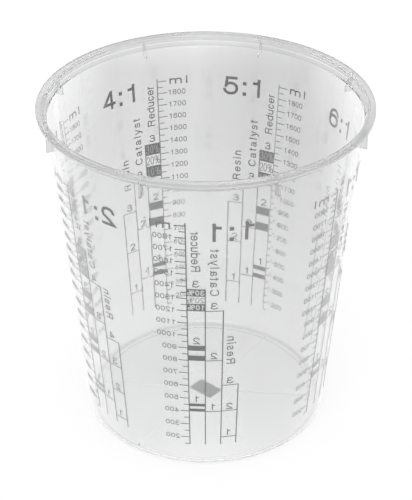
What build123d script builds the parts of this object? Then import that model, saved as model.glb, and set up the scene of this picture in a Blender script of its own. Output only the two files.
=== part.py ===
from build123d import *

# Resin mixing cup: a clear thin-walled moulding with a printed volume scale and ratio chart for
# each of seven mixing ratios. Millimetres; the middle of the base is at the origin, the mouth is
# up, and azimuth 0 faces -Y and grows towards +X.
import os
from math import cbrt, cos, hypot, pi, radians, sin, sqrt

os.makedirs("parts", exist_ok=True)

# Cup wall and floor
cup_height = 166.4
base_radius = 60.3
wall_top_radius = 73.85
wall_thickness = 1.1
floor_thickness = 1.2
base_corner_radius = 4.3

# Shoulder, collar and flange at the mouth
shoulder_rise = 1.8
shoulder_step = 1.1
collar_land = 1.4
flange_height = 2.3
flange_overhang = 2.6
flange_edge_chamfer = 0.5
lip_edge_chamfer = 0.3

# Gussets under the flange
gusset_count = 8
gusset_turn = 24.0
gusset_thickness = 0.9
gusset_length = 7.9
gusset_inset = 0.7
gusset_root = 0.5

# Foot ring and ribs under the floor
foot_depth = 0.3
foot_width = 1.6
base_rib_count = 6
base_rib_turn = 24.0
base_rib_width = 0.8
hub_margin = 7.0
weld_overrun = 0.2

# Plain patch printed under the floor
mark_length = 14.0
mark_width = 9.2
mark_turn = -40.5

# Print on the outside of the wall
centimetre = 10.0
millilitre = centimetre**3
ink_thickness = 0.1
tick_height = 0.42
print_headroom = 11.5
line_overrun = 1.3
cut_overrun = 0.5
first_mark = 150
mark_step = 50
ticks_per_number = 2

# Angles, in degrees round the cup
full_turn = 360
line_arc = 0.44
column_arc = 6.8
column_count = 3
long_tick_arc = 3.9
short_tick_arc = 2.3

# Panels, from one part of resin to one of catalyst up to seven: resin in one step, number of
# steps, and turn of the scale's line
step_volumes = [200, 200, 300, 300, 300, 300, 350]
step_counts = [3, 4, 3, 3, 3, 3, 3]
panel_turns = [-6.8, -57.9, -108.1, -159.9, -210.7, -261.0, -306.3]
reducer_bar_shares = [(0.0, 0.1), (0.2, 0.3)]

# Sizes that follow
shoulder_height = cup_height - shoulder_rise - collar_land - flange_height
wall_lean = (wall_top_radius - base_radius) / shoulder_height
flange_bottom = cup_height - flange_height
gusset_foot = flange_bottom - gusset_length
foot_inner_radius = base_radius - base_corner_radius - foot_width
hub_radius = hypot(mark_length, mark_width) / 2 + hub_margin
panels = list(zip(step_volumes, step_counts, panel_turns))


def outer_radius(height):
    """Radius of the wall's outside at a height."""
    return base_radius + wall_lean * height


def inner_radius(height):
    """Radius of the wall's inside at a height."""
    return outer_radius(height) - wall_thickness


def volume_below(height):
    """Millilitres that the cup holds when filled to a height."""
    cone = inner_radius(height) ** 3 - inner_radius(floor_thickness) ** 3
    return pi * cone / (3 * wall_lean) / millilitre


def fill_height(volume):
    """Height of the liquid when the cup holds so many millilitres."""
    cone = 3 * wall_lean * volume * millilitre / pi
    radius = cbrt(cone + inner_radius(floor_thickness) ** 3)
    return (radius + wall_thickness - base_radius) / wall_lean


def radial_plane(azimuth):
    """Upright plane through the axis, its x outwards at the azimuth and its y up."""
    turn = radians(azimuth - 90)
    return Plane(origin=(0, 0, 0), x_dir=(cos(turn), sin(turn), 0), z_dir=(sin(turn), -cos(turn), 0))


def wall_plane(azimuth):
    """Plane that touches the wall along an azimuth, its x round the cup and its y up the wall."""
    turn = radians(azimuth - 90)
    outwards = Vector(cos(turn), sin(turn), 0)
    return Plane(
        origin=outwards * base_radius,
        x_dir=(-sin(turn), cos(turn), 0),
        z_dir=outwards - Vector(0, 0, wall_lean),
    )


def wall_patch(low, high, start, end):
    """Corners on a wall plane of a patch between two heights and two angles from its middle."""
    slant = hypot(1, wall_lean)
    corners = [(low, start), (low, end), (high, end), (high, start)]
    return [(outer_radius(height) * sin(radians(turn)), height * slant) for height, turn in corners]


def film_band(low, high, overrun=0):
    """Corners of a film on the wall's outside between two heights, thickened by an overrun."""
    return [
        (outer_radius(low) - overrun, low),
        (outer_radius(low) + ink_thickness + overrun, low),
        (outer_radius(high) + ink_thickness + overrun, high),
        (outer_radius(high) - overrun, high),
    ]


def rung_edges(volumes):
    """Lower and upper heights of the thin lines that mark some volumes, from the foot up."""
    heights = [fill_height(volume) for volume in volumes]
    return [height + half for height in heights for half in (-tick_height / 2, tick_height / 2)]


def pairs(edges):
    """A run of heights taken two by two."""
    return list(zip(edges[::2], edges[1::2]))


def chart_step(ratio, step_volume, step):
    """Volumes of one step: the resin mark, the catalyst mark and the reducer bars over it."""
    resin = step_volume * step
    catalyst = resin * (ratio + 1) / ratio
    bars = [(catalyst + resin * low, catalyst + resin * high) for low, high in reducer_bar_shares]
    return resin, catalyst, bars


# Cup
collar_outer = outer_radius(shoulder_height + shoulder_rise) + shoulder_step
collar_inner = collar_outer - wall_thickness
mouth_radius = collar_inner + wall_lean * (collar_land + flange_height)
flange_radius = collar_outer + flange_overhang
floor_edge = (inner_radius(floor_thickness), floor_thickness)
floor_corner_chamfer = (base_corner_radius - wall_thickness) * (2 - sqrt(2))

with BuildPart() as cup:
    with BuildSketch(Plane.XZ) as wall_section:
        with BuildLine():
            Polyline(
                (0, foot_depth),
                (foot_inner_radius, foot_depth),
                (foot_inner_radius, 0),
                (base_radius, 0),
                (outer_radius(shoulder_height), shoulder_height),
                (collar_outer, shoulder_height + shoulder_rise),
                (collar_outer, flange_bottom),
                (flange_radius, flange_bottom),
                (flange_radius, cup_height),
                (mouth_radius, cup_height),
                (collar_inner, shoulder_height + shoulder_rise),
                (inner_radius(shoulder_height), shoulder_height),
                floor_edge,
                (0, floor_thickness),
                close=True,
            )
        make_face()
        base_corner = wall_section.vertices().sort_by_distance((base_radius, 0))[0]
        fillet(base_corner, base_corner_radius)
        floor_corner = wall_section.vertices().sort_by_distance(floor_edge)[0]
        chamfer(floor_corner, floor_corner_chamfer)
        flange_corner = wall_section.vertices().sort_by_distance((flange_radius, cup_height))[0]
        chamfer(flange_corner, flange_edge_chamfer)
        lip_corner = wall_section.vertices().sort_by_distance((mouth_radius, cup_height))[0]
        chamfer(lip_corner, lip_edge_chamfer)
    revolve(axis=Axis.Z)

    # Ribs under the floor
    with BuildSketch() as base_ribs:
        Circle(hub_radius + base_rib_width / 2)
        Circle(hub_radius - base_rib_width / 2, mode=Mode.SUBTRACT)
        rib_length = foot_inner_radius - hub_radius + weld_overrun
        with PolarLocations(hub_radius, base_rib_count, start_angle=base_rib_turn - 90):
            Rectangle(rib_length, base_rib_width, align=(Align.MIN, Align.CENTER))
    extrude(amount=foot_depth + weld_overrun)

    # Gussets under the flange
    gusset_turns = [gusset_turn + full_turn * i / gusset_count for i in range(gusset_count)]
    gusset_planes = [radial_plane(turn) for turn in gusset_turns]
    with BuildSketch(*gusset_planes):
        with BuildLine():
            Polyline(
                (outer_radius(gusset_foot) - gusset_root, gusset_foot),
                (flange_radius - gusset_inset, gusset_foot),
                (flange_radius - gusset_inset, flange_bottom + weld_overrun),
                (collar_outer - gusset_root, flange_bottom + weld_overrun),
                (collar_outer - gusset_root, shoulder_height + shoulder_rise),
                (outer_radius(shoulder_height) - gusset_root, shoulder_height),
                close=True,
            )
        make_face()
    extrude(amount=gusset_thickness / 2, both=True)
cup.part.label = "cup"
export_step(cup.part, "parts/cup.step")

# Patch under the floor
with BuildPart() as base_mark:
    with BuildSketch(Plane.XY.offset(foot_depth - ink_thickness)):
        Rectangle(mark_length, mark_width, rotation=mark_turn)
    extrude(amount=ink_thickness)
base_mark.part.label = "base_mark"
export_step(base_mark.part, "parts/base_mark.step")

# Marks of the volume scales, up to the room that the print has below the gussets
print_capacity = volume_below(gusset_foot - print_headroom)
mark_count = int((print_capacity - first_mark) // mark_step) + 1
marks = [first_mark + mark_step * i for i in range(mark_count)]
long_marks = marks[ticks_per_number - 1 :: ticks_per_number]
tick_edges = rung_edges(marks)
line_foot = tick_edges[0]
line_top = tick_edges[-1] + line_overrun
below_print = line_foot - cut_overrun
line_turn = long_tick_arc / 2

for ratio, (step_volume, step_count, azimuth) in enumerate(panels, start=1):
    # Volume scale: an upright line with a tick for each mark
    with BuildPart() as volume_scale:
        with BuildSketch(wall_plane(azimuth - line_turn)):
            Polygon(*wall_patch(line_foot, line_top, line_turn - line_arc / 2, line_turn + line_arc / 2))
            for mark, (low, high) in zip(marks, pairs(tick_edges)):
                tick_arc = long_tick_arc if mark in long_marks else short_tick_arc
                Polygon(*wall_patch(low, high, line_turn - tick_arc, line_turn))
        extrude(amount=ink_thickness)
    volume_scale.part.label = f"volume_scale_{ratio}_to_1"
    export_step(volume_scale.part, f"parts/volume_scale_{ratio}_to_1.step")

    # Steps of the chart, as many as the print has room for
    chart = [chart_step(ratio, step_volume, step) for step in range(1, step_count + 1)]
    chart = [row for row in chart if row[2][-1][1] <= print_capacity]
    resin_edges = rung_edges([resin for resin, catalyst, bars in chart])
    catalyst_edges = rung_edges([catalyst for resin, catalyst, bars in chart])
    bar_edges = [fill_height(edge) for resin, catalyst, bars in chart for bar in bars for edge in bar]
    chart_top = bar_edges[-1]

    # Ratio chart: a film over three columns, cut away between the bars and rungs
    with BuildPart() as ratio_chart:
        with BuildSketch(radial_plane(azimuth + line_arc / 2)):
            Polygon(*film_band(line_foot, chart_top))
        revolve(axis=Axis.Z, revolution_arc=column_count * column_arc)
        with BuildSketch(radial_plane(azimuth)):
            for low, high in pairs([below_print] + bar_edges[:-1]):
                Polygon(*film_band(low, high, cut_overrun))
        revolve(axis=Axis.Z, revolution_arc=column_arc - line_arc / 2, mode=Mode.SUBTRACT)

        # Cells of the catalyst and resin columns, and the bare wall above each
        for column, edges in enumerate([catalyst_edges, resin_edges], start=1):
            cell_plane = radial_plane(azimuth + column * column_arc + line_arc / 2)
            with BuildSketch(cell_plane):
                for low, high in pairs([below_print] + edges[:-1]):
                    Polygon(*film_band(low, high, cut_overrun))
            revolve(axis=Axis.Z, revolution_arc=column_arc - line_arc, mode=Mode.SUBTRACT)
            with BuildSketch(cell_plane):
                Polygon(*film_band(edges[-1], chart_top + cut_overrun, cut_overrun))
            rest_arc = (column_count - column) * column_arc + line_arc
            revolve(axis=Axis.Z, revolution_arc=rest_arc, mode=Mode.SUBTRACT)
    ratio_chart.part.label = f"ratio_chart_{ratio}_to_1"
    export_step(ratio_chart.part, f"parts/ratio_chart_{ratio}_to_1.step")
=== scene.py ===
"""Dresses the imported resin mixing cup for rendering.

The clear moulding is rebuilt with smooth rounds over its CAD node. The printed scales and charts
keep their CAD films and get an ink finish, and the lettering beside them is wrapped round the wall.
Sizes in the classes are in millimetres and degrees, and those of the studio are in metres. Meshes
are written in metres, in the frame of the CAD model: the middle of the base at the origin,
azimuth 0 towards -Y, growing towards +X.
"""

import logging
import math
from dataclasses import dataclass, field, replace
from enum import Enum

import bmesh
import bpy
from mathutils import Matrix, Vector
from mathutils.geometry import delaunay_2d_cdt


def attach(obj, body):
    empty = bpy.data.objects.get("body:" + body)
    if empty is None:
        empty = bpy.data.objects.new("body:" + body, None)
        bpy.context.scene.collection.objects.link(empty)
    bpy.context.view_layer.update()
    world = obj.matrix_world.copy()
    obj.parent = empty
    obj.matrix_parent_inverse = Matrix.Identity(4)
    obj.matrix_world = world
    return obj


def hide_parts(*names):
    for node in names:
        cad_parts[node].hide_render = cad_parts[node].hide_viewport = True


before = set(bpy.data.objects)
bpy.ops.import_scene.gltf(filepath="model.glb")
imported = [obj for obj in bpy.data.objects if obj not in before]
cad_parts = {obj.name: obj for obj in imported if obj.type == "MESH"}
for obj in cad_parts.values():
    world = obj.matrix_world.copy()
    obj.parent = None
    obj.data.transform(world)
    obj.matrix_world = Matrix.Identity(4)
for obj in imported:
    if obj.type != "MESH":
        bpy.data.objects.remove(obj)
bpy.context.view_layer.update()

MM = 0.001
FULL_TURN = 360
LOG = logging.getLogger("mixing_cup")

Pair = tuple[float, float]
Colour = tuple[float, float, float]
Faces = list[tuple[int, ...]]
Word = tuple[str, float, float]
Row = tuple[float, float, Pair, Pair]
Socket = bpy.types.NodeSocket
Level = float | Socket

WHOLE: Pair = (0.0, 1.0)


def grey(level: float) -> Colour:
    """Grey of a level."""
    return (level, level, level)


class Turn(Enum):
    """Ways that a line of lettering runs on the wall."""

    ROUND = 0
    UPWARDS = 1


class Zone(Enum):
    """Parts of the moulding that differ in roughness and tint; the darker tints of the rim, foot and ribs
    are painted shade.
    """

    WALL = 0
    BASE = 1
    RIM = 2
    RIBS = 3
    FOOT = 4


class NodeSheet:
    """Adds and joins the nodes of one material, world or node group."""

    def __init__(self, tree: bpy.types.NodeTree) -> None:
        """Clears a node tree and takes it over.

        Args:
            tree: the node tree to fill.
        """
        self.tree = tree
        tree.nodes.clear()

    def add(self, kind: str, **values: object) -> bpy.types.Node:
        """Adds a node and sets some of its properties.

        Args:
            kind: the node's type name.
            **values: properties of the node by name.

        Returns:
            The new node.
        """
        node = self.tree.nodes.new(kind)
        for name, value in values.items():
            setattr(node, name, value)
        return node

    def feed(self, target: Socket, value: object) -> None:
        """Links a socket into an input, or sets the input to a plain value.

        Args:
            target: the input.
            value: the socket or the plain value.
        """
        if isinstance(value, Socket):
            self.tree.links.new(value, target)
        elif target.type == "RGBA":
            target.default_value = (*value, 1.0)
        else:
            target.default_value = value

    def put(self, node: bpy.types.Node, **values: object) -> bpy.types.Node:
        """Feeds inputs of a node, by name with spaces as underscores.

        Args:
            node: the node.
            **values: a socket or a plain value for each input.

        Returns:
            The same node.
        """
        for name, value in values.items():
            self.feed(node.inputs[name.replace("_", " ")], value)
        return node

    def maths(self, operation: str, *values: Level) -> Socket:
        """Works out one sum.

        Args:
            operation: the kind of sum.
            *values: its numbers or their sockets.

        Returns:
            The result.
        """
        node = self.add("ShaderNodeMath", operation=operation)
        for target, value in zip(node.inputs, values):
            self.feed(target, value)
        return node.outputs[0]

    def remap(self, value: Socket, given: Pair, wanted: tuple[Level, Level]) -> Socket:
        """Moves a value from one range into another and holds it at the ends.

        Args:
            value: the value.
            given: the range that it comes in.
            wanted: the ends that it goes to, as numbers or sockets.

        Returns:
            The moved value.
        """
        node = self.put(self.add("ShaderNodeMapRange"), Value=value, From_Min=given[0], From_Max=given[1])
        return self.put(node, To_Min=wanted[0], To_Max=wanted[1]).outputs["Result"]

    def mix(self, share: Socket, first: Colour | Socket, second: Colour | Socket) -> Socket:
        """Mixes two colours.

        Args:
            share: how much of the second colour shows.
            first: the first colour.
            second: the second colour.

        Returns:
            The mixed colour.
        """
        node = self.put(self.add("ShaderNodeMix", data_type="RGBA"), Factor=share)
        ends = [socket for socket in node.inputs if socket.type == "RGBA"]
        for end, colour in zip(ends, (first, second)):
            self.feed(end, colour)
        return next(socket for socket in node.outputs if socket.type == "RGBA")

    def group(self, tree: bpy.types.NodeTree, **values: object) -> Socket:
        """Places a node group, feeds its inputs and gives its first output."""
        return self.put(self.add("ShaderNodeGroup", node_tree=tree), **values).outputs[0]

    def finish(self, shader: Socket, kind: str = "ShaderNodeOutputMaterial") -> None:
        """Shows a shader as the surface of the material or the world."""
        self.put(self.add(kind), Surface=shader)


def new_material(name: str) -> tuple[bpy.types.Material, NodeSheet]:
    """Makes a material with an empty node sheet.

    Args:
        name: name of the material.

    Returns:
        The material and its sheet.
    """
    made = bpy.data.materials.new(name)
    made.use_nodes = True
    return made, NodeSheet(made.node_tree)


def new_group(name: str, inputs: dict[str, str], outputs: dict[str, str]) -> bpy.types.NodeTree:
    """Makes an empty shader node group.

    Args:
        name: name of the group.
        inputs: socket types by input name.
        outputs: socket types by output name.

    Returns:
        The group.
    """
    tree = bpy.data.node_groups.new(name, "ShaderNodeTree")
    for socket, kind in inputs.items():
        tree.interface.new_socket(socket, in_out="INPUT", socket_type=kind)
    for socket, kind in outputs.items():
        tree.interface.new_socket(socket, in_out="OUTPUT", socket_type=kind)
    return tree


@dataclass(frozen=True)
class Mottle:
    """Slow patches over a surface."""

    detail: float = 3.0
    softness: float = 0.55
    spread: Pair = (0.32, 0.68)

    def group(self) -> bpy.types.NodeTree:
        """Makes the group that lets a value wander between two limits over a surface.

        Returns:
            The group, with a Value output.
        """
        ends = dict.fromkeys(("Scale", "Low", "High"), "NodeSocketFloat")
        tree = new_group("mottle", {"Point": "NodeSocketVector"} | ends, {"Value": "NodeSocketFloat"})
        sheet = NodeSheet(tree)
        given = sheet.add("NodeGroupInput").outputs
        noise = sheet.put(sheet.add("ShaderNodeTexNoise"), Vector=given["Point"], Scale=given["Scale"])
        sheet.put(noise, Detail=self.detail, Roughness=self.softness)
        wander = sheet.add("ShaderNodeMapRange", interpolation_type="SMOOTHSTEP")
        sheet.put(wander, Value=noise.outputs["Fac"], From_Min=self.spread[0], From_Max=self.spread[1])
        sheet.put(wander, To_Min=given["Low"], To_Max=given["High"])
        sheet.put(sheet.add("NodeGroupOutput"), Value=wander.outputs["Result"])
        return tree


def grain_group() -> bpy.types.NodeTree:
    """Makes the group that gives the height of fine grain over slower waves.

    Returns:
        The group, with a Height output.
    """
    ends = dict.fromkeys(("Grain Scale", "Wave Scale", "Wave Share"), "NodeSocketFloat")
    tree = new_group("fine relief", {"Point": "NodeSocketVector"} | ends, {"Height": "NodeSocketFloat"})
    sheet = NodeSheet(tree)
    given = sheet.add("NodeGroupInput").outputs
    grain, wave = (
        sheet.put(sheet.add("ShaderNodeTexNoise"), Vector=given["Point"], Scale=given[scale]).outputs["Fac"]
        for scale in ("Grain Scale", "Wave Scale")
    )
    blend = sheet.add("ShaderNodeMix", data_type="FLOAT")
    sheet.put(blend, Factor=given["Wave Share"], A=grain, B=wave)
    sheet.put(sheet.add("NodeGroupOutput"), Height=blend.outputs["Result"])
    return tree


@dataclass(frozen=True)
class Effects:
    """Node groups that all the finishes share."""

    mottle: bpy.types.NodeTree
    grain: bpy.types.NodeTree

    def wander(self, sheet: NodeSheet, point: Socket, scale: float, limits: Pair) -> Socket:
        """Lets a value wander between two limits over a surface."""
        return sheet.group(self.mottle, Point=point, Scale=scale, Low=limits[0], High=limits[1])


@dataclass(frozen=True)
class Relief:
    """Fine height of a surface, in millimetres, with the sizes of its grain and waves per metre."""

    grain_scale: float
    wave_scale: float
    wave_share: float
    height: float
    strength: float = 1.0

    def normal(self, sheet: NodeSheet, effects: Effects, point: Socket) -> Socket:
        """Tilts the normal by the relief.

        Args:
            sheet: the node sheet to build in.
            effects: the shared node groups.
            point: place on the surface.

        Returns:
            The normal.
        """
        rise = sheet.group(
            effects.grain,
            Point=point,
            Grain_Scale=self.grain_scale,
            Wave_Scale=self.wave_scale,
            Wave_Share=self.wave_share,
        )
        bump = sheet.put(sheet.add("ShaderNodeBump"), Height=rise, Distance=self.height * MM)
        return sheet.put(bump, Strength=self.strength).outputs["Normal"]


MOULDED = Relief(900.0, 60.0, 0.5, 0.004)
SMOOTH = replace(MOULDED, height=0.001)
PRINTED = Relief(2500.0, 900.0, 0.4, 0.01, 0.6)


@dataclass(frozen=True)
class ClearPlastic:
    """Clear natural polypropylene: slightly milky, with satin moulded faces, faint flow marks and a painted
    glow at a slant and in trapped rays.
    """

    name: str
    transmission: float
    roughness: Pair
    thin_colour: Colour = (0.99, 0.992, 0.992)
    thick_colour: Colour = (0.975, 0.978, 0.978)
    ior: float = 1.49
    # Painted glow: past the mirrored limit or the bounce limit the plastic glows as if lit, and at a slant
    # it glows over the slant range.
    mirrored_limit: float = 3.5
    bounce_limit: float = 11.5
    trapped_glow: float = 0.3
    slant_glow: float = 0.0
    slant_range: Pair = (0.5, 0.92)
    mottle_scale: float = 26.0
    flow_stretch: tuple[float, float, float] = (1.0, 1.0, 0.22)
    relief: Relief = MOULDED

    def scattered_light(self, sheet: NodeSheet) -> Socket:
        """Painted glow: emission that stands in for light scattered in the milky plastic, seen at a slant
        or where rays are mirrored until lost.

        Args:
            sheet: the node sheet to build in.

        Returns:
            The painted glow's colour, black where the plastic is seen face on.
        """
        rays = sheet.add("ShaderNodeLightPath").outputs
        mirrored = sheet.maths("GREATER_THAN", rays["Glossy Depth"], self.mirrored_limit)
        spent = sheet.maths("GREATER_THAN", rays["Ray Depth"], self.bounce_limit)
        facing = sheet.add("ShaderNodeLayerWeight").outputs["Facing"]
        slant = sheet.remap(facing, self.slant_range, WHOLE)
        painted_slant_veil = sheet.mix(slant, grey(0.0), grey(self.slant_glow))
        return sheet.mix(sheet.maths("MAXIMUM", mirrored, spent), painted_slant_veil, grey(self.trapped_glow))

    def material(self, effects: Effects) -> bpy.types.Material:
        """Builds the material.

        Args:
            effects: the shared node groups.

        Returns:
            The material.
        """
        made, sheet = new_material(self.name)
        point = sheet.add("ShaderNodeTexCoord").outputs["Object"]
        stretched = sheet.put(sheet.add("ShaderNodeMapping"), Vector=point, Scale=self.flow_stretch)
        flow = stretched.outputs["Vector"]
        streak = effects.wander(sheet, flow, self.mottle_scale, WHOLE)
        surface = sheet.put(
            sheet.add("ShaderNodeBsdfPrincipled"),
            Base_Color=sheet.mix(streak, self.thin_colour, self.thick_colour),
            Roughness=effects.wander(sheet, point, self.mottle_scale, self.roughness),
            Normal=self.relief.normal(sheet, effects, flow),
            IOR=self.ior,
            Metallic=0.0,
            Transmission_Weight=self.transmission,
            # Painted glow: emission that stands in for scattered light, though the plastic is no lamp.
            Emission_Color=self.scattered_light(sheet),
            Emission_Strength=1.0,
        )
        sheet.finish(surface.outputs["BSDF"])
        return made


@dataclass(frozen=True)
class PrintInk:
    """Screen-printed ink: nearly flat in colour, a little thinner in places, with a dull face and a painted
    sheen that pales it at a slant.
    """

    name: str
    full_colour: Colour
    thin_colour: Colour
    roughness: Pair = (0.42, 0.6)
    mottle_scale: float = 700.0
    slant_colour: Colour = (0.95, 0.95, 0.95)
    slant_range: Pair = (0.4, 0.72)
    refracted_range: Pair = (0.11, 0.22)
    relief: Relief = PRINTED

    def material(self, effects: Effects) -> bpy.types.Material:
        """Builds the material, with a painted sheen: its colour pales where the film is seen at a slant.

        Args:
            effects: the shared node groups.

        Returns:
            The material.
        """
        made, sheet = new_material(self.name)
        point = sheet.add("ShaderNodeTexCoord").outputs["Object"]
        cover = effects.wander(sheet, point, self.mottle_scale, WHOLE)
        faced = sheet.mix(cover, self.full_colour, self.thin_colour)
        # Painted sheen: the colour pales towards white at a slant, over another range for rays seen through
        # the plastic.
        facing = sheet.add("ShaderNodeLayerWeight").outputs["Facing"]
        direct = sheet.remap(facing, self.slant_range, WHOLE)
        refracted = sheet.remap(facing, self.refracted_range, WHOLE)
        bent = sheet.add("ShaderNodeLightPath").outputs["Is Transmission Ray"]
        slant = sheet.remap(bent, WHOLE, (direct, refracted))
        surface = sheet.put(
            sheet.add("ShaderNodeBsdfPrincipled"),
            Base_Color=sheet.mix(slant, faced, self.slant_colour),
            Roughness=effects.wander(sheet, point, self.mottle_scale, self.roughness),
            Normal=self.relief.normal(sheet, effects, point),
            Metallic=0.0,
        )
        sheet.finish(surface.outputs["BSDF"])
        return made


PLASTICS: dict[Zone, ClearPlastic] = {
    # The wall's glow at a slant is painted glow.
    Zone.WALL: ClearPlastic("clear_polypropylene", 0.95, (0.02, 0.045), slant_glow=0.13),
    Zone.BASE: ClearPlastic(
        "clear_polypropylene_base",
        0.965,
        (0.11, 0.16),
        (0.97, 0.972, 0.972),
        (0.955, 0.958, 0.958),
        relief=SMOOTH,
    ),
    # Painted shade: the foot is tinted darker than the floor.
    Zone.FOOT: ClearPlastic(
        "clear_polypropylene_foot",
        0.95,
        (0.24, 0.3),
        (0.86, 0.863, 0.863),
        (0.83, 0.833, 0.833),
        relief=SMOOTH,
    ),
    # Painted shade: the rim is tinted grey, and its trapped rays get a stronger painted glow.
    Zone.RIM: ClearPlastic(
        "clear_polypropylene_rim",
        0.95,
        (0.24, 0.3),
        (0.84, 0.843, 0.843),
        (0.8, 0.803, 0.803),
        trapped_glow=0.5,
        relief=SMOOTH,
    ),
    # Painted shade: the ribs are tinted dark so that they show as darker lines.
    Zone.RIBS: ClearPlastic(
        "clear_polypropylene_ribs",
        0.9,
        (0.12, 0.16),
        (0.6, 0.603, 0.603),
        (0.54, 0.543, 0.543),
    ),
}
SCALE_INK = PrintInk(
    "print_ink_grey",
    (0.22, 0.22, 0.225),
    (0.28, 0.28, 0.285),
    refracted_range=(0.02, 0.22),
)
FINE_INK = PrintInk("fine_print_grey", (0.26, 0.26, 0.265), (0.33, 0.33, 0.335))
# Painted light: the mark is coloured near white, far lighter than its own mid-grey print, to stand in for
# light that hardly reaches it under the floor.
MARK_WITH_PAINTED_LIGHT = PrintInk("base_mark_grey", (0.93, 0.93, 0.935), (0.99, 0.99, 0.995))
BARE = PrintInk("bare_plastic", (0.9, 0.9, 0.9), (0.84, 0.84, 0.84))


@dataclass(frozen=True)
class Wall:
    """The conical wall, whose inside sets the heights of the printed volumes."""

    base_radius: float = 60.3
    top_radius: float = 73.85
    top_height: float = 160.9
    thickness: float = 1.1
    floor: float = 1.2

    @property
    def lean(self) -> float:
        """Growth of the radius with height."""
        return (self.top_radius - self.base_radius) / self.top_height

    def outer(self, height: float) -> float:
        """Radius of the outside at a height."""
        return self.base_radius + self.lean * height

    def inner(self, height: float) -> float:
        """Radius of the inside at a height."""
        return self.outer(height) - self.thickness

    def fill_height(self, volume: float) -> float:
        """Height of the liquid at a volume.

        Args:
            volume: what the cup holds, in millilitres.

        Returns:
            The height in millimetres.
        """
        cone = 3 * self.lean * volume / (MM * math.pi) + self.inner(self.floor) ** 3
        return (math.cbrt(cone) + self.thickness - self.base_radius) / self.lean

    def place(self, azimuth: float, height: float, out: float) -> Vector:
        """Point over the outside of the wall.

        Args:
            azimuth: degrees round the cup.
            height: millimetres above the base.
            out: millimetres outwards from the wall, negative inside it.

        Returns:
            The point in metres.
        """
        return ring_point(self.outer(height) + out, height, azimuth)


def ring_point(radius: float, height: float, azimuth: float) -> Vector:
    """Point at a radius, height and azimuth.

    Args:
        radius: millimetres from the axis.
        height: millimetres above the base.
        azimuth: degrees round the cup.

    Returns:
        The point in metres.
    """
    turn = math.radians(azimuth)
    return Vector((radius * math.sin(turn), -radius * math.cos(turn), height)) * MM


def new_object(name: str, points: list[Vector], faces: Faces) -> bpy.types.Object:
    """Makes a mesh object in the scene.

    Args:
        name: name of the object.
        points: corners in metres.
        faces: corner numbers of each face.

    Returns:
        The object.
    """
    mesh = bpy.data.meshes.new(name)
    mesh.from_pydata([tuple(point) for point in points], [], faces)
    mesh.validate()
    made = bpy.data.objects.new(name, mesh)
    bpy.context.scene.collection.objects.link(made)
    return made


def round_corner(before: Pair, corner: Pair, after: Pair, radius: float, steps: int) -> list[Pair]:
    """Replaces a corner of a section by an arc.

    Args:
        before: the point before the corner.
        corner: the corner.
        after: the point after it.
        radius: radius of the round.
        steps: number of chords along the arc.

    Returns:
        The points of the arc, from the side of the first point.
    """
    here = Vector(corner)
    back = (Vector(before) - here).normalized()
    ahead = (Vector(after) - here).normalized()
    half = back.angle(ahead) / 2
    centre = here + (back + ahead).normalized() * (radius / math.sin(half))
    start = here + back * (radius / math.tan(half)) - centre
    end = here + ahead * (radius / math.tan(half)) - centre
    sweep = start.angle_signed(end)
    first = math.atan2(start.y, start.x)
    turns = [first - sweep * i / steps for i in range(steps + 1)]
    return [(centre.x + radius * math.cos(t), centre.y + radius * math.sin(t)) for t in turns]


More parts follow.
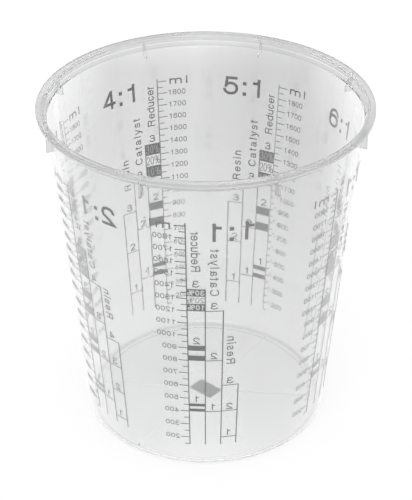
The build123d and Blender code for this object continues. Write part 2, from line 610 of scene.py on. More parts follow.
@dataclass
class CupShell:
    """The clear moulding: wall, floor, foot, shoulder, collar and flange, with gussets and ribs."""

    wall: Wall
    height: float = 166.4
    shoulder_rise: float = 1.8
    shoulder_step: float = 1.1
    flange_height: float = 2.3
    flange_overhang: float = 2.6
    mouth_flare: float = 0.31
    base_round: float = 4.3
    flange_round: float = 0.5
    lip_round: float = 0.35
    small_round: float = 0.35
    foot_depth: float = 0.3
    foot_inner: float = 54.4
    ink_bed: float = 0.03
    gusset_count: int = 8
    gusset_turn: float = 24.0
    gusset_thickness: float = 0.9
    gusset_length: float = 7.9
    gusset_inset: float = 0.7
    gusset_root: float = 0.5
    hub_radius: float = 15.38
    rib_count: int = 6
    rib_turn: float = 24.0
    rib_width: float = 0.8
    weld: float = 0.2
    segments: int = 864
    hub_segments: int = 288
    arc_steps: int = 8
    sharp_angle: float = 38.0

    @property
    def collar_outer(self) -> float:
        """Outside radius of the collar under the flange."""
        return self.wall.outer(self.wall.top_height + self.shoulder_rise) + self.shoulder_step

    @property
    def flange_radius(self) -> float:
        """Outside radius of the flange."""
        return self.collar_outer + self.flange_overhang

    @property
    def flange_bottom(self) -> float:
        """Height of the flange's underside."""
        return self.height - self.flange_height

    def section(self) -> list[Pair]:
        """Half section of the moulding, from the middle of the underside round to the floor.

        Returns:
            Radius and height of each point.
        """
        wall = self.wall
        collar_inner = self.collar_outer - wall.thickness
        shoulder_top = wall.top_height + self.shoulder_rise
        bed = self.ink_bed
        corners = [
            ((0.0, self.foot_depth - bed), 0.0),
            ((self.foot_inner, self.foot_depth - bed), 0.0),
            ((self.foot_inner, 0.0), 0.0),
            ((wall.base_radius + bed, 0.0), self.base_round),
            ((wall.top_radius + bed, wall.top_height), self.small_round),
            ((self.collar_outer, shoulder_top), self.small_round),
            ((self.collar_outer, self.flange_bottom), self.lip_round),
            ((self.flange_radius, self.flange_bottom), self.small_round),
            ((self.flange_radius, self.height), self.flange_round),
            ((collar_inner + self.mouth_flare, self.height), self.lip_round),
            ((collar_inner, shoulder_top), self.small_round),
            ((wall.inner(wall.top_height), wall.top_height), self.small_round),
            ((wall.inner(wall.floor), wall.floor), self.base_round - wall.thickness),
            ((0.0, wall.floor), 0.0),
        ]
        points: list[Pair] = []
        for i, (corner, radius) in enumerate(corners):
            if radius == 0.0:
                points.append(corner)
                continue
            before, after = corners[i - 1][0], corners[i + 1][0]
            points += round_corner(before, corner, after, radius, self.arc_steps)
        return points

    def lathe(self) -> bpy.types.Object:
        """Turns the section round the axis.

        Returns:
            The turned moulding, without gussets and ribs.
        """
        section = self.section()
        points, faces = turned(section[1:-1], self.segments, closed=False)
        under, inside = len(points), len(points) + 1
        last = under - self.segments
        points += [ring_point(0, section[0][1], 0), ring_point(0, section[-1][1], 0)]
        for j in range(self.segments):
            k = (j + 1) % self.segments
            faces += [(under, k, j), (inside, last + j, last + k)]
        return new_object("cup_shell", points, faces)

    def gusset(self, azimuth: float) -> bpy.types.Object:
        """Makes one thin upright plate between the wall and the flange.

        Args:
            azimuth: degrees round the cup.

        Returns:
            The plate, rooted in the wall and the flange.
        """
        wall = self.wall
        foot = self.flange_bottom - self.gusset_length
        tip = self.flange_radius - self.gusset_inset
        top = self.flange_bottom + self.weld
        root = self.collar_outer - self.gusset_root
        outline = [
            (wall.outer(foot) - self.gusset_root, foot),
            (tip, foot),
            (tip, top),
            (root, top),
            (root, wall.top_height + self.shoulder_rise),
            (wall.top_radius - self.gusset_root, wall.top_height),
        ]
        return plate("gusset", outline, azimuth, self.gusset_thickness)

    def base_rib(self, azimuth: float) -> bpy.types.Object:
        """Makes one radial rib under the floor.

        Args:
            azimuth: degrees round the cup.

        Returns:
            The rib, rooted in the floor, the hub ring and the foot ring.
        """
        start, end = self.hub_radius, self.foot_inner + self.weld
        top = self.foot_depth + self.weld
        outline = [(start, 0.0), (end, 0.0), (end, top), (start, top)]
        return plate("base_rib", outline, azimuth, self.rib_width)

    def hub_ring(self) -> bpy.types.Object:
        """Makes the ring under the middle of the floor.

        Returns:
            The ring, rooted in the floor.
        """
        inner, outer = self.hub_radius - self.rib_width / 2, self.hub_radius + self.rib_width / 2
        top = self.foot_depth + self.weld
        rims = [(inner, 0.0), (outer, 0.0), (outer, top), (inner, top)]
        return new_object("hub_ring", *turned(rims, self.hub_segments, closed=True))

    def zone(self, middle: Vector) -> Zone:
        """Part of the moulding that a face belongs to.

        Args:
            middle: middle of the face, in metres.

        Returns:
            The zone.
        """
        if middle.z > self.wall.top_height * MM:
            return Zone.RIM
        if middle.z < self.foot_depth * MM / 2 and middle.xy.length < self.foot_inner * MM:
            return Zone.RIBS
        if middle.z < (self.wall.floor + self.weld) * MM:
            edge = (self.wall.base_radius - self.base_round) * MM
            return Zone.BASE if middle.xy.length < edge else Zone.FOOT
        return Zone.WALL

    def build(self, finishes: dict[Zone, bpy.types.Material]) -> bpy.types.Object:
        """Joins the turned moulding, its gussets and its ribs into one closed mesh.

        Args:
            finishes: material of each zone of the plastic.

        Returns:
            The moulding, in place of its CAD node.
        """
        shell = self.lathe()
        for tool in [
            *(self.gusset(turn) for turn in spaced(self.gusset_turn, self.gusset_count)),
            self.hub_ring(),
            *(self.base_rib(turn) for turn in spaced(self.rib_turn, self.rib_count)),
        ]:
            union(shell, tool)
        shell.data.materials.clear()
        for zone in Zone:
            shell.data.materials.append(finishes[zone])
        for face in shell.data.polygons:
            face.material_index = self.zone(face.center).value
        shell.data.shade_smooth()
        shell.data.set_sharp_from_angle(angle=math.radians(self.sharp_angle))
        shell.name = "cup_moulding"
        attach(shell, "root")
        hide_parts("cup")
        return shell


def spaced(first: float, count: int) -> list[float]:
    """Azimuths spread evenly round the cup."""
    return [first + FULL_TURN * i / count for i in range(count)]


def turned(section: list[Pair], count: int, closed: bool) -> tuple[list[Vector], Faces]:
    """Turns a section round the axis.

    Args:
        section: radius and height of each of its points.
        count: number of steps round the axis.
        closed: whether its last point joins its first one.

    Returns:
        The corners in metres, point by point, and the faces between them.
    """
    points = [ring_point(r, z, turn) for r, z in section for turn in spaced(0, count)]
    faces: Faces = []
    for i in range(len(section) if closed else len(section) - 1):
        near, far = i * count, (i + 1) % len(section) * count
        for j in range(count):
            k = (j + 1) % count
            faces.append((near + j, near + k, far + k, far + j))
    return points, faces


def plate(name: str, outline: list[Pair], azimuth: float, thickness: float) -> bpy.types.Object:
    """Makes an upright plate that points away from the axis.

    Args:
        name: name of the object.
        outline: radius and height of its corners.
        azimuth: degrees round the cup of its middle plane.
        thickness: its thickness, half of it on each side.

    Returns:
        The plate.
    """
    turn = math.radians(azimuth)
    side = Vector((math.cos(turn), math.sin(turn), 0.0)) * (thickness / 2 * MM)
    middle = [ring_point(r, z, azimuth) for r, z in outline]
    count = len(middle)
    faces: Faces = [tuple(range(count)), tuple(range(2 * count - 1, count - 1, -1))]
    faces += [(i, i + count, (i + 1) % count + count, (i + 1) % count) for i in range(count)]
    made = new_object(name, [p + side for p in middle] + [p - side for p in middle], faces)
    work = bmesh.new()
    work.from_mesh(made.data)
    bmesh.ops.recalc_face_normals(work, faces=work.faces)
    work.to_mesh(made.data)
    work.free()
    return made


def union(body: bpy.types.Object, tool: bpy.types.Object) -> None:
    """Joins a closed mesh to another one and deletes it.

    Args:
        body: the mesh that grows.
        tool: the mesh that goes into it.
    """
    step = body.modifiers.new("union", "BOOLEAN")
    step.operation = "UNION"
    step.solver = "EXACT"
    step.object = tool
    depsgraph = bpy.context.evaluated_depsgraph_get()
    grown = bpy.data.meshes.new_from_object(body.evaluated_get(depsgraph))
    body.modifiers.clear()
    body.data = grown
    bpy.data.objects.remove(tool)


X_HEIGHT = 0.7
FIGURE_ADVANCE = 0.774
Item = Pair | tuple[float, float, float, float, float, float]
Stroke = list[Item]


@dataclass(frozen=True)
class Letter:
    """Middle lines of a letter's strokes in a box of 1 by 1, and its advance per cap height.

    A stroke is a list of points and of arcs, each arc as centre x, y, half width, half height and
    first and last angle.
    """

    strokes: tuple[Stroke, ...]
    advance: float = FIGURE_ADVANCE
    bearing: float = 0.065


LETTERS: dict[str, Letter] = {
    "0": Letter(([(0.5, 0.5, 0.5, 0.5, 0, 360)],)),
    "1": Letter(([(0.58, 0), (0.58, 1)], [(0.58, 0.97), (0.53, 0.86), (0.43, 0.8), (0.17, 0.79)])),
    "2": Letter(([(0.49, 0.69, 0.47, 0.31, 168, -28), (0.42, 0.3), (0.03, 0)], [(0, 0), (1, 0)])),
    "3": Letter(
        (
            [(0.48, 0.76, 0.42, 0.24, 165, -90), (0.32, 0.52)],
            [(0.32, 0.52), (0.48, 0.26, 0.52, 0.26, 90, -167)],
        ),
    ),
    "4": Letter(([(0.74, 0), (0.74, 1)], [(0.7, 1), (0, 0.27)], [(0, 0.25), (1, 0.25)])),
    "5": Letter(
        ([(0.17, 1), (0.92, 1)], [(0.17, 1), (0.08, 0.48)], [(0.48, 0.33, 0.52, 0.33, 128, -165)]),
    ),
    "6": Letter(([(0.5, 0.32, 0.5, 0.32, 0, 360)], [(0, 0.32), (0.53, 0.52, 0.53, 0.48, 175, 28)])),
    "7": Letter(([(0, 1), (1, 1)], [(0.97, 1), (0.58, 0.5), (0.36, 0)])),
    "8": Letter(([(0.5, 0.76, 0.46, 0.24, 0, 360)], [(0.5, 0.26, 0.5, 0.26, 0, 360)])),
    "9": Letter(([(0.5, 0.68, 0.5, 0.32, 0, 360)], [(1, 0.68), (0.47, 0.48, 0.53, 0.48, -5, -152)])),
    ":": Letter(([(0.5, 0.03)], [(0.5, 0.7)]), advance=0.387),
    "%": Letter(
        ([(0.21, 0.75, 0.21, 0.25, 0, 360)], [(0.79, 0.25, 0.21, 0.25, 0, 360)], [(0.3, 0), (0.7, 1)]),
        advance=1.238,
    ),
    "m": Letter(
        (
            [(0, 0), (0, X_HEIGHT)],
            [(0, 0.4), (0.25, 0.46, 0.25, 0.24, 180, 0), (0.5, 0)],
            [(0.5, 0.4), (0.75, 0.46, 0.25, 0.24, 180, 0), (1, 0)],
        ),
        advance=1.16,
        bearing=0.09,
    ),
    "l": Letter(([(0.5, 0), (0.5, 1)],), advance=0.309, bearing=0.08),
    "R": Letter(
        (
            [(0, 0), (0, 1)],
            [(0, 1), (0.5, 1), (0.55, 0.76, 0.39, 0.24, 90, -90), (0, 0.52)],
            [(0.5, 0.52), (0.76, 0.44), (0.86, 0.27), (0.9, 0)],
        ),
        advance=1.005,
        bearing=0.1,
    ),
    "C": Letter(([(0.5, 0.5, 0.5, 0.5, 36, 324)],), advance=1.005, bearing=0.07),
    "e": Letter(([(0, 0.37), (1, 0.37)], [(0.5, 0.35, 0.5, 0.35, 3, 322)]), bearing=0.06),
    "d": Letter(([(1, 0), (1, 1)], [(0.5, 0.35, 0.5, 0.35, 0, 360)]), bearing=0.06),
    "u": Letter(
        ([(1, 0), (1, X_HEIGHT)], [(0, X_HEIGHT), (0.5, 0.25, 0.5, 0.25, 180, 360), (1, 0.3)]),
        bearing=0.09,
    ),
    "c": Letter(([(0.5, 0.35, 0.5, 0.35, 40, 320)],), advance=0.696, bearing=0.05),
    "r": Letter(
        ([(0, 0), (0, X_HEIGHT)], [(0, 0.38), (0.8, 0.38, 0.8, 0.32, 175, 85)]),
        advance=0.464,
        bearing=0.07,
    ),
    "s": Letter(
        ([(0.5, 0.535, 0.44, 0.165, 20, 250), (0.5, 0.185, 0.5, 0.185, 65, -160)],),
        advance=0.696,
        bearing=0.06,
    ),
    "i": Letter(([(0.5, 0), (0.5, X_HEIGHT)], [(0.5, 1)]), advance=0.309, bearing=0.08),
    "n": Letter(
        ([(0, 0), (0, X_HEIGHT)], [(0, 0.38), (0.5, 0.44, 0.5, 0.26, 180, 0), (1, 0)]),
        bearing=0.09,
    ),
    "a": Letter(
        (
            [(0.44, 0.53, 0.4, 0.17, 165, 0), (0.84, 0.12), (1, 0)],
            [(0.84, 0.4), (0.4, 0.34), (0.36, 0.185, 0.36, 0.185, 100, 330), (0.84, 0.24)],
        ),
        bearing=0.06,
    ),
    "t": Letter(
        ([(0.4, 0.9), (0.4, 0.18), (0.8, 0.18, 0.4, 0.18, 190, 270)], [(0, 0.7), (0.95, 0.7)]),
        advance=0.387,
        bearing=0.02,
    ),
    "y": Letter(
        ([(0, X_HEIGHT), (0.5, 0)], [(1, X_HEIGHT), (0.46, -0.12), (0.3, -0.27), (0.06, -0.28)]),
        advance=0.696,
        bearing=0.03,
    ),
}


@dataclass(frozen=True)
class Glyphs:
    """A line of lettering, flat, in millimetres."""

    points: list[Pair]
    faces: Faces


@dataclass(frozen=True)
class Style:
    """Size and weight of a line of lettering."""

    cap: float
    stroke_share: float = 0.115
    width_share: float = 1.0
    tracking: float = 0.0
    arc_step: float = 24.0


@dataclass(frozen=True)
class TypeCase:
    """Sets lines of plain grotesque lettering from the strokes of its letters."""

    roundness: float = 2.3
    dot_share: float = 1.3
    slice_width: float = 2.2
    least_chords: int = 2
    closed_share: float = 0.1
    sharpest_mitre: float = 0.5
    join_distance: float = 1e-4
    keep_inside: int = 1

    def middle_line(self, stroke: Stroke, style: Style, left: float, width: float) -> list[Vector]:
        """Points along the middle of a stroke.

        Args:
            stroke: its points and arcs in the letter's box.
            style: size and weight of the line.
            left: left edge of the letter.
            width: width of the letter.

        Returns:
            The points in millimetres.
        """
        pen = style.cap * style.stroke_share
        flat: list[Pair] = []
        for item in stroke:
            if len(item) == 2:
                flat.append(item)
                continue
            x, y, half_width, half_height, first, last = item
            steps = max(self.least_chords, math.ceil(abs(last - first) / style.arc_step))
            for i in range(steps + 1):
                turn = math.radians(first + (last - first) * i / steps)
                cosine, sine = math.cos(turn), math.sin(turn)
                across = math.copysign(abs(cosine) ** (2 / self.roundness), cosine)
                up = math.copysign(abs(sine) ** (2 / self.roundness), sine)
                flat.append((x + half_width * across, y + half_height * up))
        return [
            Vector((left + pen / 2 + x * (width - pen), pen / 2 + y * (style.cap - pen)))
            for x, y in flat
        ]

    def ribbon(self, line: list[Vector], pen: float) -> list[tuple[Vector, Vector]]:
        """Left and right edge of a stroke at each of its points.

        Args:
            line: points along its middle.
            pen: its width.

        Returns:
            The pairs of edge points.
        """
        closed = (line[0] - line[-1]).length < pen * self.closed_share
        edges = []
        for i, point in enumerate(line):
            before = line[i - 1] if i else (line[-2] if closed else None)
            after = line[i + 1] if i + 1 < len(line) else (line[1] if closed else None)
            ways = [(b - a).normalized() for a, b in ((before, point), (point, after)) if a and b]
            way = sum(ways, Vector((0.0, 0.0))).normalized()
            mitre = max(way.dot(ways[0]), self.sharpest_mitre)
            aside = Vector((-way.y, way.x)) * (pen / 2 / mitre)
            pair = [point + aside, point - aside]
            if not closed and (before is None or after is None):
                outwards = way if after is None else -way
                pair = [self.squared(edge, point, outwards, pen) for edge in pair]
            edges.append((pair[0], pair[1]))
        return edges

    @staticmethod
    def squared(edge: Vector, point: Vector, way: Vector, pen: float) -> Vector:
        """Moves the edge of a stroke's end out to a level or upright cut.

        Args:
            edge: edge point at the end.
            point: middle of the end.
            way: direction out of the stroke.
            pen: width of the stroke.

        Returns:
            The moved edge point.
        """
        axis = 1 if abs(way.y) > abs(way.x) else 0
        limit = point[axis] + math.copysign(pen / 2, way[axis])
        return edge + way * ((limit - edge[axis]) / way[axis])

    def letter(self, character: str, style: Style, left: float) -> list[list[Vector]]:
        """Corners of the patches that make up a letter.

        Args:
            character: the letter.
            style: size and weight of the line.
            left: where its advance starts.

        Returns:
            The patches, which may overlap.
        """
        pen = style.cap * style.stroke_share
        shape = LETTERS[character]
        unit = style.cap * style.width_share
        edge = left + shape.bearing * unit
        width = (shape.advance - 2 * shape.bearing) * unit
        patches = []
        for stroke in shape.strokes:
            line = self.middle_line(stroke, style, edge, max(width, pen))
            if len(line) == 1:
                half = pen * self.dot_share / 2
                around = [(-half, -half), (half, -half), (half, half), (-half, half)]
                patches.append([line[0] + Vector(corner) for corner in around])
                continue
            sides = self.ribbon(line, pen)
            patches += [[a, b, d, c] for (a, b), (c, d) in zip(sides, sides[1:])]
        return patches

    def length(self, text: str, style: Style) -> float:
        """Length of a line from edge to edge.

        Args:
            text: the letters.
            style: size and weight.

        Returns:
            The length in millimetres.
        """
        unit = style.cap * style.width_share
        spare = (LETTERS[text[0]].bearing + LETTERS[text[-1]].bearing) * unit
        return sum(LETTERS[c].advance for c in text) * unit + style.tracking * (len(text) - 1) - spare

    def spread(self, text: str, style: Style, length: float) -> Style:
        """Style whose tracking brings a line to a length."""
        more = (length - self.length(text, style)) / max(len(text) - 1, 1)
        return replace(style, tracking=style.tracking + more)

    def line(self, text: str, style: Style) -> Glyphs:
        """Sets a line of lettering.

        Args:
            text: the letters.
            style: size and weight.

        Returns:
            The flat line: x 0 is its start and y 0 its base line.
        """
        unit = style.cap * style.width_share
        left = 0.0
        corners: list[Vector] = []
        patches: Faces = []
        for character in text:
            for patch in self.letter(character, style, left):
                patches.append(tuple(range(len(corners), len(corners) + len(patch))))
                corners += patch
            left += LETTERS[character].advance * unit + style.tracking
        made = delaunay_2d_cdt(corners, [], patches, self.keep_inside, self.join_distance, True)
        points, _, faces, _, _, owners = made
        kept = [tuple(face) for face, owner in zip(faces, owners) if owner]
        return self.sliced(Glyphs([(p.x, p.y) for p in points], kept))

    @staticmethod
    def straddles(face: bmesh.types.BMFace, at: float) -> bool:
        """Whether a face lies on both sides of an upright line."""
        xs = [corner.co.x for corner in face.verts]
        return min(xs) < at < max(xs)

    def sliced(self, line: Glyphs) -> Glyphs:
        """Cuts wide faces into upright slices, so that they can bend round the wall.

        Args:
            line: the flat line.

        Returns:
            The same line with narrower faces, all facing up, and no loose corners.
        """
        work = bmesh.new()
        corners = [work.verts.new((x, y, 0.0)) for x, y in line.points]
        for face in line.faces:
            made = work.faces.new([corners[i] for i in face])
            made.normal_update()
            if made.normal.z < 0:
                made.normal_flip()
        at = self.slice_width
        while at < max(x for x, y in line.points):
            wide = [face for face in work.faces if self.straddles(face, at)]
            edges = {e for f in wide for e in f.edges}
            verts = {v for f in wide for v in f.verts}
            around = [*verts, *edges, *wide]
            bmesh.ops.bisect_plane(work, geom=around, plane_co=(at, 0, 0), plane_no=(1, 0, 0))
            at += self.slice_width
        bmesh.ops.delete(work, geom=[v for v in work.verts if not v.link_faces], context="VERTS")
        work.verts.index_update()
        points = [(v.co.x, v.co.y) for v in work.verts]
        faces = [tuple(v.index for v in f.verts) for f in work.faces]
        work.free()
        return Glyphs(points, faces)


@dataclass
class WallPrint:
    """Letters wrapped round the wall as thin films, gathered into one mesh."""

    name: str
    wall: Wall
    inner_skin: float = 0.0
    outer_skin: float = 0.1
    points: list[Vector] = field(default_factory=list)
    faces: Faces = field(default_factory=list)

    def add(self, line: Glyphs, azimuth: float, height: float, turn: Turn) -> None:
        """Wraps a line of lettering round the wall, to be read from inside the cup.

        Args:
            line: the flat line.
            azimuth: degrees round the cup of its x 0, or of its base line if it runs upwards.
            height: height of its base line, or of its x 0 if it runs upwards.
            turn: the way that it runs.
        """
        first = len(self.points)
        around = math.degrees(1 / self.wall.outer(height))
        placed = []
        for x, y in line.points:
            aside, up = (x, y) if turn is Turn.ROUND else (-y, x)
            placed.append((azimuth - aside * around, height + up))
        self.points += [self.wall.place(a, h, self.inner_skin) for a, h in placed]
        self.points += [self.wall.place(a, h, self.outer_skin) for a, h in placed]
        count = len(placed)
        sides = {(a, b) for face in line.faces for a, b in zip(face, face[1:] + face[:1])}
        for face in line.faces:
            self.faces.append(tuple(first + i for i in face))
            self.faces.append(tuple(first + count + i for i in reversed(face)))
        for a, b in sorted(sides):
            if (b, a) not in sides:
                self.faces.append((first + b, first + a, first + a + count, first + b + count))

    def build(self, finish: bpy.types.Material, slot: str) -> bpy.types.Object:
        """Makes the mesh of all the lines and puts it on the cup.

        Args:
            finish: its material.
            slot: its material slot in the record; not used.

        Returns:
            The object.
        """
        made = new_object(self.name, self.points, self.faces)
        made.data.materials.append(finish)
        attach(made, "root")
        return made


@dataclass
class Panel:
    """The lettering of one panel: numbers of its scale, its title, words and column digits.

    Starts and turns are in degrees, counted from the scale's line. A word is its text, how far over
    its rung it starts and how long it is. Bar shares are the reducer's shares of the resin.
    """

    wall: Wall
    type_case: TypeCase
    ratio: int
    step_volume: float
    steps: int
    azimuth: float
    top_mark: int = 1900
    first_number: int = 200
    number_step: int = 100
    number_start: float = 4.35
    number_style: Style = Style(2.8, 0.13, 1.08)
    unit_start: float = 4.7
    unit_length: float = 9.4
    unit_style: Style = Style(4.1, 0.17, 1.6)
    title_left: float = 24.1
    title_style: Style = Style(9.7, 0.15, 1.2, 0.3, 12.0)
    title_height: float = 134.7
    column_turn: float = 6.8
    column_style: Style = Style(3.8, 0.14, 1.25)
    column_lift: float = 1.0
    words: tuple[Word, ...] = (("Reducer", 9.3, 21.5), ("Catalyst", 8.4, 25.6), ("Resin", 12.6, 16.4))
    word_style: Style = Style(4.1, 0.13, 1.02)
    bar_shares: tuple[Pair, Pair] = ((0.0, 0.1), (0.2, 0.3))
    print_room: float = 1955.0
    share_style: Style = Style(1.0, 0.0)
    share_strokes: Pair = (0.52, 0.32)
    share_height: float = 0.72
    share_length: float = 7.5
    bare_skins: Pair = (-0.05, 0.15)

    def chart(self) -> list[Row]:
        """Heights of the chart's steps: resin rung, catalyst rung and the two reducer bars.

        Returns:
            One entry for each step that the print has room for.
        """
        rise = self.wall.fill_height
        rows = []
        for step in range(1, self.steps + 1):
            resin = self.step_volume * step
            catalyst = resin * (self.ratio + 1) / self.ratio
            bars = [[catalyst + resin * share for share in ends] for ends in self.bar_shares]
            if bars[1][1] > self.print_room:
                break
            low_bar, high_bar = ((rise(low), rise(high)) for low, high in bars)
            rows.append((rise(resin), rise(catalyst), low_bar, high_bar))
        return rows

    def scale_numbers(self, ink: WallPrint) -> None:
        """Sets the volumes beside the long ticks, and the unit at the top.

        Args:
            ink: the print that they join.
        """
        for mark in range(self.first_number, self.top_mark, self.number_step):
            line = self.type_case.line(str(mark), self.number_style)
            height = self.wall.fill_height(mark) - self.number_style.cap / 2
            ink.add(line, self.azimuth - self.number_start, height, Turn.ROUND)
        style = self.type_case.spread("ml", self.unit_style, self.unit_length)
        height = self.wall.fill_height(self.top_mark) - style.cap / 2
        ink.add(self.type_case.line("ml", style), self.azimuth - self.unit_start, height, Turn.ROUND)

    def title(self, ink: WallPrint) -> None:
        """Sets the panel's ratio in large figures."""
        line = self.type_case.line(f"{self.ratio}:1", self.title_style)
        ink.add(line, self.azimuth + self.title_left, self.title_height, Turn.ROUND)

    def column_middle(self, column: int) -> float:
        """Azimuth of the middle of a column, counted from the scale."""
        return self.azimuth + (column + 0.5) * self.column_turn

    def centred(self, line: Glyphs, film: WallPrint, column: int, height: float) -> None:
        """Sets a line in the middle of a column.

        Args:
            line: the flat line.
            film: the print that it joins.
            column: the column, counted from the scale.
            height: height of its base line.
        """
        xs = [x for x, y in line.points]
        aside = math.degrees((min(xs) + max(xs)) / 2 / self.wall.outer(height))
        film.add(line, self.column_middle(column) + aside, height, Turn.ROUND)

    def column_figures(self, ink: WallPrint) -> None:
        """Sets the step's figure over each rung and over each pair of bars.

        Args:
            ink: the print that they join.
        """
        for step, (resin, catalyst, _, high_bar) in enumerate(self.chart(), start=1):
            line = self.type_case.line(str(step), self.column_style)
            for column, rung in enumerate((high_bar[1], catalyst, resin)):
                self.centred(line, ink, column, rung + self.column_lift)

    def column_words(self, ink: WallPrint) -> None:
        """Sets the name of each column, running upwards over its top rung.

        Args:
            ink: the print that they join.
        """
        resin, catalyst, _, high_bar = self.chart()[-1]
        rungs = (high_bar[1], catalyst, resin)
        for column, (rung, (word, lift, length)) in enumerate(zip(rungs, self.words)):
            start = rung + lift
            style = self.type_case.spread(word, self.word_style, length)
            drop = math.degrees(style.cap / 2 / self.wall.outer(start))
            line = self.type_case.line(word, style)
            ink.add(line, self.column_middle(column) - drop, start, Turn.UPWARDS)

    def shares(self, ink: WallPrint, bare: WallPrint) -> None:
        """Sets the reducer's shares on the top pair of bars and between them.

        Args:
            ink: the print of the share between the bars.
            bare: the figures left bare in the bars.
        """
        _, _, low_bar, high_bar = self.chart()[-1]
        bold, thin = self.share_strokes
        for text, (low, high), film, stroke in (
            ("10%", low_bar, bare, bold),
            ("20%", (low_bar[1], high_bar[0]), ink, thin),
            ("30%", high_bar, bare, bold),
        ):
            cap = (high - low) * self.share_height
            width = self.share_length / cap / self.type_case.length(text, self.share_style)
            style = replace(self.share_style, cap=cap, stroke_share=stroke / cap, width_share=width)
            self.centred(self.type_case.line(text, style), film, 0, (low + high - cap) / 2)

    def build(self, inked: bpy.types.Material, blank: bpy.types.Material) -> list[bpy.types.Object]:
        """Makes the panel's lettering.

        Args:
            inked: material of the ink.
            blank: material of the figures left bare in the bars.

        Returns:
            The lettering and the bare figures.
        """
        ink = WallPrint(f"lettering_{self.ratio}_to_1", self.wall)
        bare = WallPrint(f"bare_figures_{self.ratio}_to_1", self.wall, *self.bare_skins)
        self.scale_numbers(ink)
        self.title(ink)
        self.column_figures(ink)
        self.column_words(ink)
        self.shares(ink, bare)
        return [ink.build(inked, "print_ink"), bare.build(blank, "clear_plastic")]


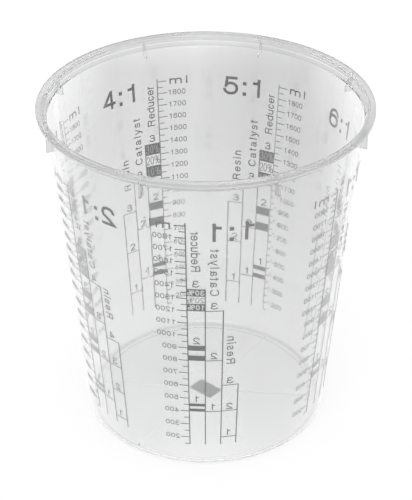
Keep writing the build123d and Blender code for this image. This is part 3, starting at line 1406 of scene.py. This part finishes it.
@dataclass(frozen=True)
class Studio:
    """Pale floor, even surroundings and one broad soft light over the camera.

    What shows through the plastic is less bright than the white that the camera sees: painted shade on
    the floor, with painted light near the front and far behind the cup. The depths hold that share of
    white by the place on the floor from front to back, in metres. The sides hold its change from left
    to right, beside the cup it goes up to white, and the far share brightens the floor behind the cup.
    The sky is the brightness that plastic mirrors into view towards the front and towards the back.
    Rays that are mirrored more often than the first mirrored number dim, as painted shade, down to the
    share that is left at the second one.
    """

    floor_radius: float = 6.0
    floor_sides: int = 96
    floor_colour: Colour = (0.25, 0.25, 0.25)
    floor_glow: float = 0.78
    fill: float = 0.9
    depth_range: Pair = (-0.1, 0.5)
    # Painted shade and light on the floor, seen only through the plastic: share of white from front to
    # back.
    depths: tuple[Pair, ...] = (
        (-0.09, 1.28),
        (-0.06, 1.2),
        (-0.035, 1.06),
        (0.0, 0.97),
        (0.07, 0.87),
        (0.2, 0.67),
        (0.28, 0.59),
        (0.38, 0.485),
        (0.42, 0.562),
        (0.46, 0.98),
    )
    sides: Pair = (1.03, 0.86)
    sides_range: Pair = (-0.004, 0.012)
    sides_start: float = 0.05
    beside: Pair = (0.075, 0.13)
    far_share: float = 1.28
    far_range: Pair = (0.28, 0.44)
    mirrored: Pair = (1.0, 3.0)
    mirrored_left: float = 0.15
    sky: Pair = (0.3, 1.0)
    sky_reach: float = 0.7
    sun_strength: float = 0.6
    sun_width: float = 40.0
    sun_azimuth: float = -12.0
    sun_elevation: float = 48.0

    def share_behind(self, sheet: NodeSheet) -> Socket:
        """Painted shade and light: share of white that shows through the plastic, by place on the floor.

        Args:
            sheet: the node sheet to build in.

        Returns:
            The share.
        """
        point = sheet.add("ShaderNodeTexCoord").outputs["Object"]
        place = sheet.put(sheet.add("ShaderNodeSeparateXYZ"), Vector=point).outputs
        start, end = self.depth_range
        ramp = sheet.add("ShaderNodeValToRGB")
        sheet.put(ramp, Fac=sheet.remap(place["Y"], self.depth_range, WHOLE))
        stops = ramp.color_ramp.elements
        while len(stops) < len(self.depths):
            stops.new(1.0)
        for stop, (metres, share) in zip(stops, self.depths):
            stop.position = (metres - start) / (end - start)
            stop.color = (*grey(share), 1.0)
        further = sheet.maths("ADD", place["Y"], self.sides_start)
        skew = sheet.maths("MULTIPLY", further, place["X"])
        across = sheet.remap(skew, self.sides_range, self.sides)
        behind = sheet.maths("MULTIPLY", ramp.outputs["Color"], across)
        aside = sheet.maths("ABSOLUTE", place["X"])
        beside = sheet.remap(aside, self.beside, (behind, 1.0))
        far = sheet.remap(place["Y"], self.far_range, (1.0, self.far_share))
        return sheet.maths("MULTIPLY", beside, far)

    def mirror_share(self, sheet: NodeSheet) -> Socket:
        """Painted shade: share of the studio's light left in a ray's view after its mirrorings in the
        plastic.

        Args:
            sheet: the node sheet to build in.

        Returns:
            The share.
        """
        depth = sheet.add("ShaderNodeLightPath").outputs["Glossy Depth"]
        return sheet.remap(depth, self.mirrored, (1.0, self.mirrored_left))

    def shown(self, sheet: NodeSheet) -> Socket:
        """Mask of the rays that see the studio: the camera's, reflected and refracted ones.

        Args:
            sheet: the node sheet to build in.

        Returns:
            The mask.
        """
        rays = sheet.add("ShaderNodeLightPath").outputs
        # Painted shade and light: rays through the plastic see the floor at a share of white set by place.
        through = sheet.remap(rays["Is Transmission Ray"], WHOLE, (1.0, self.share_behind(sheet)))
        dimmed = sheet.maths("MULTIPLY", self.mirror_share(sheet), through)
        bent = sheet.maths("MULTIPLY", rays["Is Glossy Ray"], dimmed)
        return sheet.maths("MAXIMUM", rays["Is Camera Ray"], bent)

    def world(self) -> None:
        """Makes the surroundings: white to the camera, an even light, and to plastic the sky."""
        made = bpy.data.worlds.new("studio")
        made.use_nodes = True
        bpy.context.scene.world = made
        sheet = NodeSheet(made.node_tree)
        rays = sheet.add("ShaderNodeLightPath").outputs
        way = sheet.add("ShaderNodeTexCoord").outputs["Generated"]
        back = sheet.put(sheet.add("ShaderNodeSeparateXYZ"), Vector=way).outputs["Y"]
        sky = sheet.remap(back, (-self.sky_reach, self.sky_reach), self.sky)
        # Painted shade: the sky that the plastic mirrors dims with the number of mirrorings.
        dimmed = sheet.maths("MULTIPLY", self.mirror_share(sheet), sky)
        level = sheet.remap(rays["Is Glossy Ray"], WHOLE, (self.fill, dimmed))
        strength = sheet.remap(rays["Is Camera Ray"], WHOLE, (level, 1.0))
        light = sheet.put(sheet.add("ShaderNodeBackground"), Color=grey(1.0), Strength=strength)
        sheet.finish(light.outputs[0], "ShaderNodeOutputWorld")

    def floor(self) -> bpy.types.Object:
        """Makes the pale floor, which keeps the cup's soft shadow.

        Returns:
            The floor.
        """
        ring = [ring_point(self.floor_radius / MM, 0.0, turn) for turn in spaced(0, self.floor_sides)]
        made = new_object("studio_floor", ring, [tuple(range(self.floor_sides))])
        finish, sheet = new_material("studio_floor")
        dull = sheet.put(sheet.add("ShaderNodeBsdfDiffuse"), Color=self.floor_colour)
        level = sheet.maths("MULTIPLY", self.shown(sheet), self.floor_glow)
        glow = sheet.put(sheet.add("ShaderNodeEmission"), Color=grey(1.0), Strength=level)
        both = sheet.add("ShaderNodeAddShader")
        for target, part in zip(both.inputs, (dull, glow)):
            sheet.feed(target, part.outputs[0])
        sheet.finish(both.outputs[0])
        made.data.materials.append(finish)
        return made

    def sun(self) -> None:
        """Hangs the broad light."""
        lamp = bpy.data.lights.new("soft_light", "SUN")
        lamp.energy = self.sun_strength
        lamp.angle = math.radians(self.sun_width)
        holder = bpy.data.objects.new("soft_light", lamp)
        rise = math.radians(self.sun_elevation)
        towards = ring_point(math.cos(rise), math.sin(rise), self.sun_azimuth)
        holder.rotation_euler = towards.to_track_quat("Z", "Y").to_euler()
        holder.location = towards / MM
        bpy.context.scene.collection.objects.link(holder)

    def build(self) -> None:
        """Makes the surroundings, the floor and the light."""
        self.world()
        self.floor()
        self.sun()


@dataclass(frozen=True)
class Viewpoint:
    """Camera at the photograph's viewing angle, with its place in metres and turns in radians."""

    place: tuple[float, float, float] = (0.00160, -0.60229, 0.46692)
    down: float = 0.5648
    aside: float = 0.0024
    lens: float = 105.32

    def set(self) -> None:
        """Makes the camera and looks through it."""
        data = bpy.data.cameras.new("camera")
        data.lens = self.lens
        camera = bpy.data.objects.new("camera", data)
        camera.location = self.place
        camera.rotation_euler = (math.pi / 2 - self.down, 0.0, self.aside)
        bpy.context.scene.collection.objects.link(camera)
        bpy.context.scene.camera = camera


def dress(node: str, finish: bpy.types.Material) -> None:
    """Gives a CAD node its finish.

    Args:
        node: name of the node.
        finish: the material.
    """
    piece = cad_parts[node]
    piece.data.materials.clear()
    piece.data.materials.append(finish)
    LOG.info("%s: %s", node, finish.name)


def main() -> None:
    """Builds the cup, its print, the studio and the camera, in that order."""
    logging.basicConfig(level=logging.INFO, format="%(name)s %(message)s")
    bpy.context.scene.view_settings.view_transform = "Standard"
    effects = Effects(Mottle().group(), grain_group())
    finishes = {zone: plastic.material(effects) for zone, plastic in PLASTICS.items()}
    scale_ink, fine_ink, mark, bare = (ink.material(effects) for ink in (SCALE_INK, FINE_INK, MARK_WITH_PAINTED_LIGHT, BARE))

    wall = Wall()
    pieces = [CupShell(wall).build(finishes)]
    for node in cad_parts:
        if node.startswith(("volume_scale", "ratio_chart")):
            dress(node, scale_ink)
    dress("base_mark", mark)

    type_case = TypeCase()
    for panel in (
        Panel(wall, type_case, 1, 200, 3, -6.8, title_left=25.1),
        Panel(wall, type_case, 2, 200, 4, -57.9, title_left=25.6),
        Panel(wall, type_case, 3, 300, 3, -108.1),
        Panel(wall, type_case, 4, 300, 3, -159.9, title_left=25.8),
        Panel(wall, type_case, 5, 300, 3, -210.7),
        Panel(wall, type_case, 6, 300, 3, -261.0, title_left=23.7),
        Panel(wall, type_case, 7, 350, 3, -306.3),
    ):
        pieces += panel.build(fine_ink, bare)
    for piece in pieces:
        LOG.info("%s: %d faces", piece.name, len(piece.data.polygons))

    Studio().build()
    Viewpoint().set()


if __name__ == "__main__":
    main()
